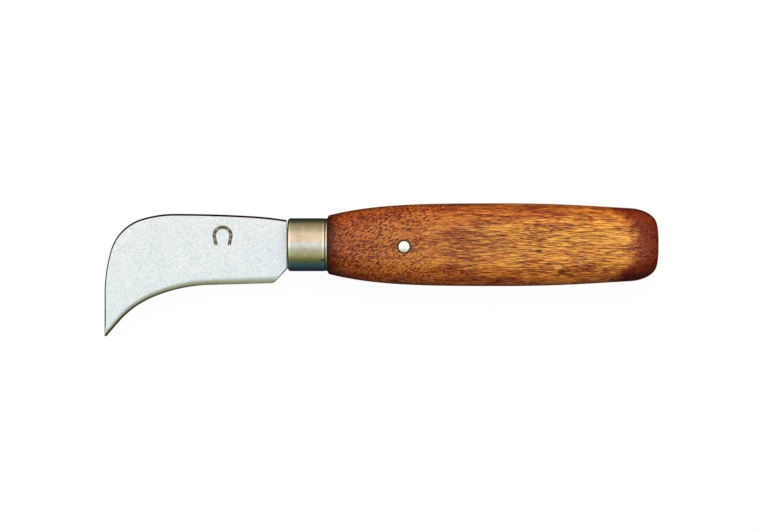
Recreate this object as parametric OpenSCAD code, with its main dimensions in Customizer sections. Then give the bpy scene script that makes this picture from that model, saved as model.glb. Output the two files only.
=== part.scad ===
// Hooked fixed-blade knife: a flat steel blade with a concave cutting edge and a down-turned
// point. Its tang runs through a pressed steel ferrule into a one-piece hardwood handle, and
// one cross pin goes through the handle and the tang.
//
// +X runs towards the butt, +Y towards the spine and +Z up out of the side that it lies on.
// The pieces are drawn about the handle's axis, with X zero at the handle's shoulder, where
// the ferrule ends. lay_down() then puts the origin at the middle of the flat underneath.

/* [Blade] */
// Reach of the blade, from the ferrule to the back of the hook
blade_reach = 63.3; // [50:0.1:80]
// Thickness of the blade
blade_thick = 2; // [1.5:0.1:3]
// Height of the spine's highest point above the ferrule
crown_rise = 1.5; // [0.5:0.1:4]
// Radius of the long, nearly flat stretch of the spine
spine_radius = 450; // [250:10:900]
// Length of the stretch next to the ferrule where the spine drops faster
ricasso_len = 12; // [6:0.5:16]
// Radius of the spine along that stretch
ricasso_radius = 110; // [80:5:250]
// Radius where the spine first turns down, and the angle it turns through
hump_radius = 38; // [25:1:50]
hump_turn = 17.5; // [8:0.5:25]
// Radius of the hook's shoulder, and the angle it turns through
corner_radius = 16; // [11:0.5:20]
corner_turn = 56.5; // [45:0.5:62]
// Radius of the hook's back, down to where it runs straight
back_radius = 55; // [35:1:80]
// Radius that blunts the point
tip_radius = 0.4; // [0.2:0.05:0.8]

/* [Cutting edge] */
// Depth of the heel's corner below the handle's axis
edge_drop = 13.3; // [12:0.1:17]
// Slope of the straight edge, in degrees, falling towards the point
edge_slope = 1.5; // [0:0.1:3]
// Radius and turn of the edge's gentle sweep
sweep_radius = 54; // [40:1:70]
sweep_turn = 21.3; // [15:0.1:26]
// Radius and turn of the edge's tighter bend into the hook
hook_radius = 32.4; // [22:0.1:40]
hook_turn = 26.5; // [20:0.1:32]
// Length of the straight edge at the point
hook_len = 7.2; // [4:0.1:11]
// Distance of the heel inside the ferrule's edge, where the two meet
heel_inset = 1.15; // [1:0.05:2]
// Angle of the heel's slant, in degrees
heel_angle = 47; // [35:0.5:60]
// Radius of the heel's corner
heel_radius = 2.5; // [1:0.5:6]
// Width of the ground bevel at the point
bevel_tip = 1.4; // [0.8:0.1:2.5]
// Width of the ground bevel at the heel
bevel_heel = 2.6; // [1:0.1:4]
// Thickness left at the cutting edge
edge_thick = 0.2; // [0.05:0.01:0.4]

/* [Tang] */
// How much thicker the tang is on each side, where the blade's grinding stops
tang_proud = 0.1; // [0.02:0.02:0.3]
// Length of the tang behind the handle's shoulder
tang_in = 36; // [33:0.5:60]
// Half width of the tang where it leaves the blade
tang_root = 4.8; // [4:0.1:5.8]
// Half width of the tang at its end
tang_end = 3.6; // [3:0.1:4.5]
// Radius of the fillets at the root of the tang
tang_fillet = 0.6; // [0.2:0.1:1]
// Radius of the corners at the tang's end
tang_corner = 1.2; // [0.4:0.1:2]

/* [Ferrule] */
// Length of the ferrule, from the blade to the handle's shoulder
ferrule_len = 13.7; // [10:0.1:18]
// Distance of the ferrule's side inside the handle's flats
ferrule_step = 1.15; // [0.6:0.05:1.6]
// Wall of the ferrule
ferrule_wall = 0.8; // [0.5:0.05:1.2]
// Outer radius between the side and the closed front end
ferrule_corner = 1; // [0.6:0.05:1.5]
// Distance of the rolled groove from the ferrule's back end
groove_back = 0.75; // [0.4:0.05:1.5]
// Half width and depth of the rolled groove
groove_half = 0.3; // [0.15:0.01:0.35]
groove_depth = 0.18; // [0.05:0.01:0.25]
// Diameter of the punch marks that stake the ferrule to the wood
stake_d = 0.9; // [0.4:0.1:1.4]
// Distance of the punch marks from the ferrule's back end
stake_back = 1.5; // [1.2:0.05:3]
// Distance of the punch marks below the handle's axis
stake_drop = 5.3; // [0:0.1:6.5]

/* [Handle] */
// Length of the handle behind its shoulder
handle_len = 113.6; // [95:0.1:140]
// Thickness of the handle between its two flat sides
handle_thick = 20.6; // [19.6:0.1:23]
// Width of the handle at its widest
handle_wide = 28.6; // [24:0.1:34]
// Height of the shoulder that the ferrule butts against
shoulder_step = 0.9; // [0.6:0.05:1.2]
// Radius that eases the shoulder's edge
shoulder_ease = 0.75; // [0.2:0.05:0.9]
// Length over which the sides swell from the shoulder to full width
swell_len = 70; // [40:1:80]
// How quickly they swell: higher is a blunter nose
swell_power = 4.3; // [2:0.1:5]
// Width of the rounding along each side, from the flat to the widest line
side_round = 8.6; // [6:0.1:9.8]
// Length behind the shoulder over which the section turns from round to flat-sided
round_nose = 22; // [10:1:40]
// Distance from the butt at which the sides begin to taper
taper_back = 52; // [30:1:56]
// Length over which the taper sets in
taper_in = 28; // [10:1:30]
// Slope of the taper along each side
taper_slope = 0.0585; // [0:0.001:0.09]
// Length and depth of the rounding at the butt
butt_round = 8.8; // [4:0.1:10]
butt_inset = 4.9; // [3:0.1:6]
// How far the butt's end face bulges
butt_crown = 0.35; // [0.2:0.05:1]

/* [Cross pin] */
// Diameter of the pin
pin_d = 3.7; // [2.5:0.1:5]
// Distance of the pin behind the handle's shoulder
pin_back = 26.2; // [20:0.1:30]
// Distance of the pin and the tang's centre line below the handle's axis
pin_drop = 0.8; // [0:0.1:1.2]
// Height of the dome on each end of the pin
pin_dome = 0.3; // [0.1:0.05:0.6]
// Width of the ring that is countersunk round the pin
pin_ring = 0.32; // [0.1:0.02:0.6]

/* [Clearances] */
// Between the tang and its slot in the handle
slot_gap = 0.12; // [0.05:0.01:0.3]
// Between the tang's end and the bottom of its slot
slot_end_gap = 1.5; // [0.5:0.1:4]
// Between the tang's root and its slot in the ferrule's end
ferrule_slot_gap = 0.12; // [0.05:0.01:0.3]
// Between the wood and the ferrule's side
ferrule_gap = 0.02; // [0.01:0.01:0.1]
// Between the wood and the ferrule's closed end
ferrule_end_gap = 0.25; // [0.2:0.05:1]
// Between the pin and its hole in the wood
pin_gap = 0.02; // [0.01:0.01:0.1]
// Between the pin and its hole in the tang
tang_hole_gap = 0.1; // [0.05:0.01:0.3]

/* [Hidden] */

arc_steps = 10;         // segments of an ordinary arc in an outline
round_fn = 96;          // fineness of round features
past = 1;               // how far a cutter runs past what it cuts
pin_r = pin_d / 2;
half_thick = handle_thick / 2;
half_wide = handle_wide / 2;
ferrule_r = half_thick - ferrule_step;
ferrule_bore_r = ferrule_r - ferrule_wall;
half_shoulder = ferrule_r + shoulder_step;
tenon_r = ferrule_bore_r - ferrule_gap;
tenon_len = ferrule_len - ferrule_wall - ferrule_end_gap;
tang_len = ferrule_len + tang_in;
tang_thick = blade_thick + 2 * tang_proud;
spine_crown = ferrule_r + crown_rise;
heel_drop = ferrule_r - heel_inset;

function polar(r, a) = [r * cos(a), r * sin(a)];
function arc(centre, r, from, to, steps = arc_steps) =
    [for (i = [0:steps]) centre + polar(r, from + (to - from) * i / steps)];
function reversed(list) = [for (i = [len(list) - 1:-1:0]) list[i]];

// ---- Spine: arcs that meet at common tangents, from the ferrule to the hook's back ----
corner_from = 90 + hump_turn;
corner_to = corner_from + corner_turn;
crown_x = -blade_reach - hump_radius * cos(corner_from)
    + corner_radius * (cos(corner_from) - cos(corner_to))
    + back_radius * (cos(corner_to) + 1);
crown = [crown_x, spine_crown];
spine_centre = crown - [0, spine_radius];
ricasso_from = acos((-ricasso_len - crown_x) / spine_radius);
ricasso_centre = spine_centre + polar(spine_radius - ricasso_radius, ricasso_from);
ricasso_to = acos(-ricasso_centre[0] / ricasso_radius);
hump_centre = crown - [0, hump_radius];
corner_centre = hump_centre + polar(hump_radius - corner_radius, corner_from);
back_centre = corner_centre + polar(corner_radius - back_radius, corner_to);
function spine_points() = concat(
    arc(ricasso_centre, ricasso_radius, ricasso_to, ricasso_from, 6),
    arc(spine_centre, spine_radius, ricasso_from, 90, 8),
    arc(hump_centre, hump_radius, 90, corner_from),
    arc(corner_centre, corner_radius, corner_from, corner_to, 20),
    arc(back_centre, back_radius, corner_to, 180));

// ---- Cutting edge: a straight, two arcs and a straight, from the heel to the point ----
sweep_from = 90 + edge_slope;
hook_from = sweep_from + sweep_turn;
hook_to = hook_from + hook_turn;
heel_corner = [(heel_drop - edge_drop) / tan(heel_angle), -edge_drop];
bend_run = sweep_radius * (cos(sweep_from) - cos(hook_from))
    + hook_radius * (cos(hook_from) - cos(hook_to)) + hook_len * sin(hook_to);
straight_len = (blade_reach + heel_corner[0] - bend_run) / sin(sweep_from);
sweep_start = heel_corner + polar(straight_len, sweep_from + 90);
sweep_centre = sweep_start - polar(sweep_radius, sweep_from);
hook_centre = sweep_centre + polar(sweep_radius - hook_radius, hook_from);
hook_end = hook_centre + polar(hook_radius, hook_to);
apex = hook_end + polar(hook_len, hook_to + 90);
tip_half = (180 - hook_to) / 2;
tip_centre = apex + polar(tip_radius / sin(tip_half), 90 - tip_half);
heel_turn = heel_angle - edge_slope;
heel_centre = heel_corner + polar(heel_radius * tan(heel_turn / 2), sweep_from + 90)
    + polar(heel_radius, sweep_from);
function edge_points() = concat(
    arc(tip_centre, tip_radius, 180, 180 + hook_to, 5),
    arc(hook_centre, hook_radius, hook_to, hook_from, 14),
    arc(sweep_centre, sweep_radius, hook_from, sweep_from, 12),
    arc(heel_centre, heel_radius, 180 + sweep_from, 270 + heel_angle, 8));

// ---- Tang, drawn from the blade's shoulder; grow widens and lengthens it for the slot ----
function tang_side(side, grow, end_grow) = concat(
    [[tang_fillet, -pin_drop + side * (tang_root + grow)]],
    arc([tang_len + end_grow - tang_corner, -pin_drop + side * (tang_end + grow - tang_corner)],
        tang_corner, side * 90, 0, 5));
function tang_fillet_points(side) =
    arc([tang_fillet, -pin_drop + side * (tang_root + tang_fillet)],
        tang_fillet, 180, 180 + side * 90, 5);
function tang_outline() = concat(
    tang_fillet_points(-1),
    tang_side(-1, 0, 0),
    reversed(tang_side(1, 0, 0)),
    reversed(tang_fillet_points(1)));
function blade_outline() =
    concat(spine_points(), edge_points(), [[0, -heel_drop]], tang_outline());

// ---- Swept shapes ----
// Joins sections with the same number of points into one closed body. Each section runs
// anticlockwise seen along the sweep, and the ends are closed flat.
module sweep(sections) {
    n = len(sections[0]);
    count = len(sections);
    sides = [for (k = [0:count - 2], i = [0:n - 1])
        let (j = (i + 1) % n, a = k * n, b = a + n)
        each [[a + i, a + j, b + j], [a + i, b + j, b + i]]];
    start = [for (i = [n - 1:-1:0]) i];
    end = [for (i = [0:n - 1]) (count - 1) * n + i];
    polyhedron(points = [for (s = sections) each s], faces = concat(sides, [start, end]));
}

// ---- Bevel: what the grinder takes off one face along the cutting edge ----
edge_half = edge_thick / 2;
blade_half = blade_thick / 2;
function bevel_width(x) =
    bevel_tip + (bevel_heel - bevel_tip) * min(1, max(0, (x + blade_reach) / blade_reach));
function bevel_section(point, inward) =
    let (w = bevel_width(point[0]),
         rise = (blade_half - edge_half) / w,
         inner = point + polar(w + past, inward),
         outer = point - polar(past, inward),
         top = blade_half + rise * past)
    [[inner[0], inner[1], top],
     [outer[0], outer[1], edge_half - rise * past],
     [outer[0], outer[1], top]];
function bevel_arc(centre, r, from, to, steps) =
    [for (i = [0:steps]) let (a = from + (to - from) * i / steps)
        bevel_section(centre + polar(r, a), a)];
module bevel_cut() {
    run_off = 6;
    sweep(concat(
        [bevel_section(apex + polar(run_off, hook_to + 90), hook_to)],
        bevel_arc(hook_centre, hook_radius, hook_to, hook_from, 14),
        bevel_arc(sweep_centre, sweep_radius, hook_from, sweep_from, 12),
        [bevel_section(heel_corner + polar(run_off, sweep_from - 90), sweep_from)]));
}

module blade() {
    color("gainsboro")
    translate([-ferrule_len, 0, 0])
    difference() {
        union() {
            linear_extrude(height = blade_thick, center = true) polygon(blade_outline());
            linear_extrude(height = tang_thick, center = true) polygon(tang_outline());
        }
        bevel_cut();
        mirror([0, 0, 1]) bevel_cut();
        translate([ferrule_len + pin_back, -pin_drop, 0])
            cylinder(r = pin_r + tang_hole_gap, h = tang_thick + 2 * past,
                center = true, $fn = round_fn);
    }
}

// ---- Ferrule: a drawn cup, its closed end slotted for the tang, its open end rolled in a
// groove and staked to the wood ----
inner_corner = max(0.1, ferrule_corner - ferrule_wall);
groove_x = ferrule_len - groove_back;
groove_radius = (pow(groove_half, 2) + pow(groove_depth, 2)) / (2 * groove_depth);
groove_sweep = asin(groove_half / groove_radius);
function ferrule_profile() = concat(
    [[0, 0]],
    arc([ferrule_r - ferrule_corner, ferrule_corner], ferrule_corner, 270, 360, 8),
    arc([ferrule_r - groove_depth + groove_radius, groove_x], groove_radius,
        180 + groove_sweep, 180 - groove_sweep, 6),
    [[ferrule_r, ferrule_len], [ferrule_bore_r, ferrule_len]],
    arc([ferrule_bore_r - inner_corner, ferrule_wall + inner_corner], inner_corner, 360, 270, 4),
    [[0, ferrule_wall]]);
module ferrule() {
    slot_half = tang_root + tang_fillet + ferrule_slot_gap;
    stake_up = sqrt(pow(ferrule_r, 2) - pow(stake_drop, 2));
    color("tan")
    translate([-ferrule_len, 0, 0])
    difference() {
        rotate([0, 90, 0]) rotate_extrude($fn = round_fn) polygon(ferrule_profile());
        translate([ferrule_wall / 2, -pin_drop, 0])
            cube([ferrule_wall + 2 * ferrule_slot_gap, 2 * slot_half,
                  tang_thick + 2 * ferrule_slot_gap], center = true);
        for (side = [-1, 1])
            translate([ferrule_len - stake_back, -stake_drop, side * stake_up])
                sphere(d = stake_d, $fn = 24);
    }
}

// ---- Handle: a section with two flats and two rounded sides, carried along X ----
shoulder_half_thick = min(half_shoulder, half_thick);
flat_from = 3;          // where the flats reach their full thickness
section_steps = 14;     // segments of each rounded side
round_start = handle_len - butt_crown - butt_round;
taper_start = handle_len - taper_back;
function swell(x) = pow(max(0, 1 - x / swell_len), swell_power);
function taper(x) =
    let (d = max(0, x - taper_start))
    taper_slope * (d < taper_in ? d * d / (2 * taper_in) : d - taper_in / 2);
function ease(x) = x >= shoulder_ease ? 0
    : shoulder_ease - sqrt(pow(shoulder_ease, 2) - pow(shoulder_ease - x, 2));
function half_width(x) =
    half_wide - (half_wide - half_shoulder) * swell(x) - taper(x) - ease(x);
function half_depth(x) =
    half_thick - (half_thick - shoulder_half_thick) * pow(max(0, 1 - x / flat_from), 2) - ease(x);
function half_flat(x) =
    half_width(x) + ease(x) - side_round
    - (half_shoulder - side_round) * pow(max(0, 1 - x / round_nose), 2);
// One section, anticlockwise seen from the blade. Its half width is a, its half depth b and
// its flats' half width f. Half an ellipse joins them on each side.
function section(x, a, b, f) =
    [for (side = [1, -1], i = [0:section_steps])
        let (t = 90 - 180 * i / section_steps)
        [x, side * (f + (a - f) * cos(t)), side * b * sin(t)]];
least_flat = 0.02;      // keeps the flats of the round nose from closing up
function body_section(x) =
    section(x, half_width(x), half_depth(x), max(least_flat, half_flat(x)));
// The butt's rounding: a quarter of an ellipse, then the slightly bulging end face
function butt_section(angle) =
    let (x = round_start + butt_round * sin(angle), inset = butt_inset * (1 - cos(angle)))
    section(x, half_width(x) - inset, half_depth(x) - inset,
            max(least_flat, half_flat(x) - inset / 2));
function end_section(share) =
    let (x = round_start + butt_round, least = 0.2,
         bulge = butt_crown * (1 - share * share) / (1 - least * least))
    section(x + bulge, share * (half_width(x) - butt_inset),
            share * (half_depth(x) - butt_inset),
            share * max(least_flat, half_flat(x) - butt_inset / 2));
nose_steps = 5;
front_steps = 9;
middle_steps = 14;
butt_steps = 7;
function handle_sections() = concat(
    [for (i = [0:nose_steps]) body_section(shoulder_ease * (1 - cos(90 * i / nose_steps)))],
    [for (i = [1:front_steps])
        body_section(shoulder_ease + (swell_len / 3 - shoulder_ease) * pow(i / front_steps, 1.5))],
    [for (i = [1:middle_steps])
        body_section(swell_len / 3 + (round_start - swell_len / 3) * i / middle_steps)],
    [for (i = [1:butt_steps]) butt_section(90 * i / butt_steps)],
    [for (share = [0.7, 0.4, 0.2]) end_section(share)]);

module tang_slot() {
    translate([-ferrule_len, 0, 0])
        linear_extrude(height = tang_thick + 2 * slot_gap, center = true)
            polygon(concat(tang_side(-1, slot_gap, slot_end_gap),
                           reversed(tang_side(1, slot_gap, slot_end_gap))));
}
module pin_hole() {
    mouth_r = pin_r + pin_gap + pin_ring;
    translate([pin_back, -pin_drop, 0]) {
        cylinder(r = pin_r + pin_gap, h = handle_thick + 2 * past, center = true, $fn = round_fn);
        for (side = [0, 1]) mirror([0, 0, side])
            translate([0, 0, half_thick - pin_ring])
                cylinder(r1 = pin_r + pin_gap, r2 = mouth_r + past, h = pin_ring + past,
                    $fn = round_fn);
    }
}
module handle() {
    color("peru")
    difference() {
        union() {
            sweep(handle_sections());
            translate([-tenon_len, 0, 0]) rotate([0, 90, 0])
                cylinder(r = tenon_r, h = tenon_len + past, $fn = round_fn);
        }
        tang_slot();
        pin_hole();
    }
}

// ---- Cross pin: a plain pin whose domed ends stop just under the flats ----
module cross_pin() {
    below = 0.03;
    top = half_thick - below;
    dome_radius = (pow(pin_r, 2) + pow(pin_dome, 2)) / (2 * pin_dome);
    dome_sweep = asin(pin_r / dome_radius);
    dome = arc([0, top - dome_radius], dome_radius, 90 - dome_sweep, 90, 8);
    color("whitesmoke")
    translate([pin_back, -pin_drop, 0])
        rotate_extrude($fn = round_fn)
            polygon(concat([for (p = reversed(dome)) [p[0], -p[1]]], dome));
}

module lay_down() {
    translate([-handle_len / 2, 0, half_thick]) children();
}

lay_down() blade();
lay_down() ferrule();
lay_down() handle();
lay_down() cross_pin();
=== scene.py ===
"""A hooked knife lying on its side: a satin steel blade, a nickel-plated ferrule, a stained and
lacquered hardwood handle and one steel cross pin, seen straight from above.

Shapes are worked out in millimetres in the maker's own frame, with X zero where a piece starts
and Y zero on the handle's axis, and place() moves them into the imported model's frame, in metres.
"""
import math
import bpy
import numpy as np
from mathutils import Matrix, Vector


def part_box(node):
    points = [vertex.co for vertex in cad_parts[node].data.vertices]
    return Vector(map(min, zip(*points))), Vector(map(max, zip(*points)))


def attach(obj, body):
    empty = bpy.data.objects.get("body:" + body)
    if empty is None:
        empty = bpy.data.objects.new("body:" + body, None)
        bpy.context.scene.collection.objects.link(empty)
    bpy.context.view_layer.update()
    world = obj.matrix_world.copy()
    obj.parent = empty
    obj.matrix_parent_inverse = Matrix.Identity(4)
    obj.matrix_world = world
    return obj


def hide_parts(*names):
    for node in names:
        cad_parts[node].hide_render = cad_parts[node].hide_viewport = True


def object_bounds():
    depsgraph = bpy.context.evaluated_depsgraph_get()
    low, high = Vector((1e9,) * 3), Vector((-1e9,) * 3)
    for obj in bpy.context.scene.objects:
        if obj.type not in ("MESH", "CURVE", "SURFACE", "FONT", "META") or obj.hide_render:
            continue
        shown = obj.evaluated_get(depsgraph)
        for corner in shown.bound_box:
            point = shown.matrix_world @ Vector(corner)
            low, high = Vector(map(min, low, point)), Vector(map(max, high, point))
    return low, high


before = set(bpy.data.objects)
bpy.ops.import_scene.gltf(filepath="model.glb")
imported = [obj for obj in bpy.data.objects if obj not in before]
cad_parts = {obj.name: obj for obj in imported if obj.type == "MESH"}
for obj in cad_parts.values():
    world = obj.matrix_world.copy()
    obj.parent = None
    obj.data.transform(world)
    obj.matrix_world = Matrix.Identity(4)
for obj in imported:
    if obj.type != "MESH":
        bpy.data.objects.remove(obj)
cad_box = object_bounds()
MM = 0.001


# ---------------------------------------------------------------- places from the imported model
def box_mm(node):
    """A CAD node's lowest and highest corner, in millimetres."""
    return [np.array(corner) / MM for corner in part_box(node)]


blade_low, blade_high = box_mm("blade")
ferrule_low, ferrule_high = box_mm("ferrule")
handle_low, handle_high = box_mm("handle")
pin_low, pin_high = box_mm("cross_pin")
AXIS_Z = (ferrule_low[2] + ferrule_high[2]) / 2
FRONT = np.array([ferrule_low[0], 0, AXIS_Z])        # where the blade leaves the ferrule
SHOULDER = np.array([ferrule_high[0], 0, AXIS_Z])    # where the ferrule ends and the wood shows


def place(points, origin):
    """Points in a piece's own millimetres, moved to origin and turned to metres."""
    return (np.asarray(points, float) + origin) * MM


# ---------------------------------------------------------------- small geometry tools
def polar(radius, angle):
    """Points at a radius and an angle in degrees: (r cos a, r sin a)."""
    a = np.radians(np.asarray(angle, float))
    return np.stack([radius * np.cos(a), radius * np.sin(a)], -1)


def arc(centre, radius, start, end, steps):
    """steps + 1 points along an arc between two angles in degrees."""
    return np.asarray(centre) + polar(radius, np.linspace(start, end, steps + 1))


def skin(name, rings):
    """A closed skin over rings, an array of rows x columns x 3 in metres.

    Each row is a closed ring. Neighbouring rings are joined by quads, and each end is closed by a
    fan to the mean of its ring. The faces are turned outwards by the sign of the volume, which is
    the sum over triangles of a . (b x c) / 6.
    """
    rows, columns = rings.shape[:2]
    points = np.concatenate([rings.reshape(-1, 3), [rings[0].mean(0), rings[-1].mean(0)]])
    i, j = np.meshgrid(np.arange(rows - 1), np.arange(columns), indexing="ij")
    a, b = i * columns + j, i * columns + (j + 1) % columns
    quads = np.stack([a, b, b + columns, a + columns], -1).reshape(-1, 4)
    around = np.arange(columns)
    after = (around + 1) % columns
    last = (rows - 1) * columns
    near = np.stack([after, around, np.full(columns, rows * columns)], -1)
    far = np.stack([last + around, last + after, np.full(columns, rows * columns + 1)], -1)
    corners = np.concatenate([quads[:, [0, 1, 2]], quads[:, [0, 2, 3]], near, far])
    p, q, r = (points[corners[:, k]] - points[0] for k in range(3))
    inside_out = np.einsum("ij,ij->i", p, np.cross(q, r)).sum() < 0
    way = -1 if inside_out else 1
    faces = quads[:, ::way].tolist() + near[:, ::way].tolist() + far[:, ::way].tolist()
    mesh = bpy.data.meshes.new(name)
    mesh.from_pydata(points.tolist(), [], faces)
    mesh.validate()
    piece = bpy.data.objects.new(name, mesh)
    bpy.context.scene.collection.objects.link(piece)
    return piece


def combine(piece, tool, operation):
    """Adds tool to piece or cuts it away, exactly, and removes the tool."""
    change = piece.modifiers.new(operation.lower(), "BOOLEAN")
    change.object = tool
    change.operation = operation
    change.solver = "EXACT"
    result = piece.evaluated_get(bpy.context.evaluated_depsgraph_get())
    mesh = bpy.data.meshes.new_from_object(result)
    piece.modifiers.clear()
    piece.data = mesh
    bpy.data.objects.remove(tool)


def finish_piece(piece, node, material):
    """Smooth shading except at true corners, the material, and the piece's place in the frame."""
    sharp_angle = 35
    piece.data.shade_smooth()
    piece.data.set_sharp_from_angle(angle=math.radians(sharp_angle))
    piece.data.materials.clear()
    piece.data.materials.append(material)
    piece.data.polygons.foreach_set("material_index", [0] * len(piece.data.polygons))
    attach(piece, "root")
    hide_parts(node)


def lathe_x(profile, columns):
    """Carries a profile of (radius, x) points round the X axis: (x, r cos a, r sin a)."""
    radius, along = np.asarray(profile, float).T
    a = np.linspace(0, 2 * np.pi, columns, endpoint=False)
    return np.stack([np.repeat(along[:, None], columns, 1),
                     radius[:, None] * np.cos(a), radius[:, None] * np.sin(a)], -1)


def lathe_z(profile, columns):
    """Carries a profile of (radius, z) points round the Z axis."""
    return np.roll(lathe_x(profile, columns), -1, axis=2)


# ---------------------------------------------------------------- blade
EDGE_HALF = 0.1               # half the thickness left at the cutting edge
TANG_PROUD = 0.1              # the tang stands this much proud of each face
TANG_HALF = (blade_high[2] - blade_low[2]) / 2
BLADE_HALF = TANG_HALF - TANG_PROUD
TANG_LEN = blade_high[0] - FRONT[0]
TANG_ROOT, TANG_END, TANG_FILLET = 4.8, 3.6, 0.6      # half widths at both ends, and the fillet
SLOT_GAP = 0.12               # between the tang and its slots in the ferrule and the handle
REACH = FRONT[0] - blade_low[0]
SPINE_CROWN = blade_high[1]   # how far the back stands above the axis
FERRULE_R = ferrule_high[1]
HEEL_DROP = FERRULE_R - 1.15  # how far below the axis the heel's slant meets the ferrule
EDGE_DROP = 13.3              # how far below the axis the cutting edge starts, at the heel
SPINE_RADIUS, RICASSO_RADIUS, RICASSO_LEN = 450, 110, 12
HUMP_RADIUS, HUMP_TURN = 38, 17.5
CORNER_RADIUS, CORNER_TURN = 16, 56.5
BACK_RADIUS = 55
TIP_RADIUS = 0.4
EDGE_SLOPE = 1.5              # degrees that the straight edge rises towards the point
SWEEP_RADIUS, SWEEP_TURN = 54, 21.3
HOOK_RADIUS, HOOK_TURN, HOOK_LEN = 32.4, 26.5, 7.2    # an arc, then a straight to the point
HEEL_ANGLE, HEEL_RADIUS = 47, 2.5
BEVEL_TIP, BEVEL_HEEL = 1.4, 2.6                      # the ground bevel's width at both ends
MARK_AT = (-22.5, 3.1)        # the etched mark, from the ferrule's front and the axis
PIN_R = (pin_high[0] - pin_low[0]) / 2
PIN_X = (pin_low[0] + pin_high[0]) / 2 - SHOULDER[0]
PIN_Y = (pin_low[1] + pin_high[1]) / 2
ROUND_COLUMNS = 96            # facets round the pin and its holes


def cos_deg(angle):
    """The cosine of an angle in degrees."""
    return math.cos(math.radians(angle))


def tan_deg(angle):
    """The tangent of an angle in degrees."""
    return math.tan(math.radians(angle))


def spine_line():
    """The blade's back seen from above, from the ferrule round to the point: five arcs that meet
    at common tangents, a straight fall, and half of the point's own small arc."""
    corner_from = 90 + HUMP_TURN
    corner_to = corner_from + CORNER_TURN
    crown = np.array([
        -REACH - HUMP_RADIUS * cos_deg(corner_from)
        + CORNER_RADIUS * (cos_deg(corner_from) - cos_deg(corner_to))
        + BACK_RADIUS * (cos_deg(corner_to) + 1), SPINE_CROWN])
    spine = crown - [0, SPINE_RADIUS]
    ricasso_from = math.degrees(math.acos((-RICASSO_LEN - crown[0]) / SPINE_RADIUS))
    ricasso = spine + polar(SPINE_RADIUS - RICASSO_RADIUS, ricasso_from)
    ricasso_to = math.degrees(math.acos(-ricasso[0] / RICASSO_RADIUS))
    hump = crown - [0, HUMP_RADIUS]
    corner = hump + polar(HUMP_RADIUS - CORNER_RADIUS, corner_from)
    back = corner + polar(CORNER_RADIUS - BACK_RADIUS, corner_to)
    return np.concatenate([
        arc(ricasso, RICASSO_RADIUS, ricasso_to, ricasso_from, 60),
        arc(spine, SPINE_RADIUS, ricasso_from, 90, 120),
        arc(hump, HUMP_RADIUS, 90, corner_from, 60),
        arc(corner, CORNER_RADIUS, corner_from, corner_to, 160),
        arc(back, BACK_RADIUS, corner_to, 180, 80),
        arc(EDGE["tip"], TIP_RADIUS, 180, EDGE["hook_to"] + 90, 12)])


def edge_places():
    """The centres and angles of the cutting edge's arcs, from the heel to the point."""
    sweep_from = 90 + EDGE_SLOPE
    hook_from = sweep_from + SWEEP_TURN
    hook_to = hook_from + HOOK_TURN
    heel = np.array([(HEEL_DROP - EDGE_DROP) / tan_deg(HEEL_ANGLE), -EDGE_DROP])
    bend = (SWEEP_RADIUS * (cos_deg(sweep_from) - cos_deg(hook_from))
            + HOOK_RADIUS * (cos_deg(hook_from) - cos_deg(hook_to))
            + HOOK_LEN * cos_deg(hook_to - 90))
    straight = (REACH + heel[0] - bend) / cos_deg(EDGE_SLOPE)
    sweep = heel + polar(straight, sweep_from + 90) - polar(SWEEP_RADIUS, sweep_from)
    hook = sweep + polar(SWEEP_RADIUS - HOOK_RADIUS, hook_from)
    apex = hook + polar(HOOK_RADIUS, hook_to) + polar(HOOK_LEN, hook_to + 90)
    half = (180 - hook_to) / 2
    tip = apex + polar(TIP_RADIUS / math.sin(math.radians(half)), 90 - half)
    heel_arc = (heel + polar(HEEL_RADIUS * tan_deg((HEEL_ANGLE - EDGE_SLOPE) / 2), sweep_from + 90)
                + polar(HEEL_RADIUS, sweep_from))
    return {"sweep_from": sweep_from, "hook_from": hook_from, "hook_to": hook_to, "heel": heel,
            "sweep": sweep, "hook": hook, "apex": apex, "tip": tip, "heel_arc": heel_arc}


EDGE = edge_places()


def edge_line():
    """The lower outline from the point to the ferrule, as (points, inward angles, depth).

    The inward angle is the direction square to the edge, in degrees. Depth is how far the point
    lies inside the ground edge's own line: zero along the edge, and growing round the heel."""
    hook_to, hook_from, sweep_from = (EDGE[k] for k in ("hook_to", "hook_from", "sweep_from"))
    point = arc(EDGE["tip"], TIP_RADIUS, hook_to + 96, hook_to + 180, 8)
    hook = arc(EDGE["hook"], HOOK_RADIUS, hook_to, hook_from, 40)
    sweep = arc(EDGE["sweep"], SWEEP_RADIUS, hook_from, sweep_from, 36)
    heel = arc(EDGE["heel_arc"], HEEL_RADIUS, 180 + sweep_from, 270 + HEEL_ANGLE, 12)
    share = np.linspace(0, 1, 16)[1:-1, None]
    hook_straight = point[-1] + (hook[0] - point[-1]) * share
    share = np.linspace(0, 1, 36)[1:-1, None]
    straight = sweep[-1] + (heel[0] - sweep[-1]) * share
    share = np.linspace(0, 1, 10)[1:, None]
    slant = heel[-1] + (np.array([0, -HEEL_DROP]) - heel[-1]) * share
    line = np.concatenate([point, hook_straight, hook, sweep, straight, heel, slant])
    inward = np.concatenate([
        np.full(len(point) + len(hook_straight), hook_to),
        np.linspace(hook_to, hook_from, len(hook)),
        np.linspace(hook_from, sweep_from, len(sweep)),
        np.full(len(straight), sweep_from),
        np.linspace(sweep_from, 90, len(heel) + len(slant))])
    depth = np.concatenate([
        (point - EDGE["apex"]) @ polar(1, hook_to),
        np.zeros(len(hook_straight) + len(hook) + len(sweep) + len(straight)),
        (np.concatenate([heel, slant]) - EDGE["heel"]) @ polar(1, sweep_from)])
    return line, inward, np.maximum(depth, 0)


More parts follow.
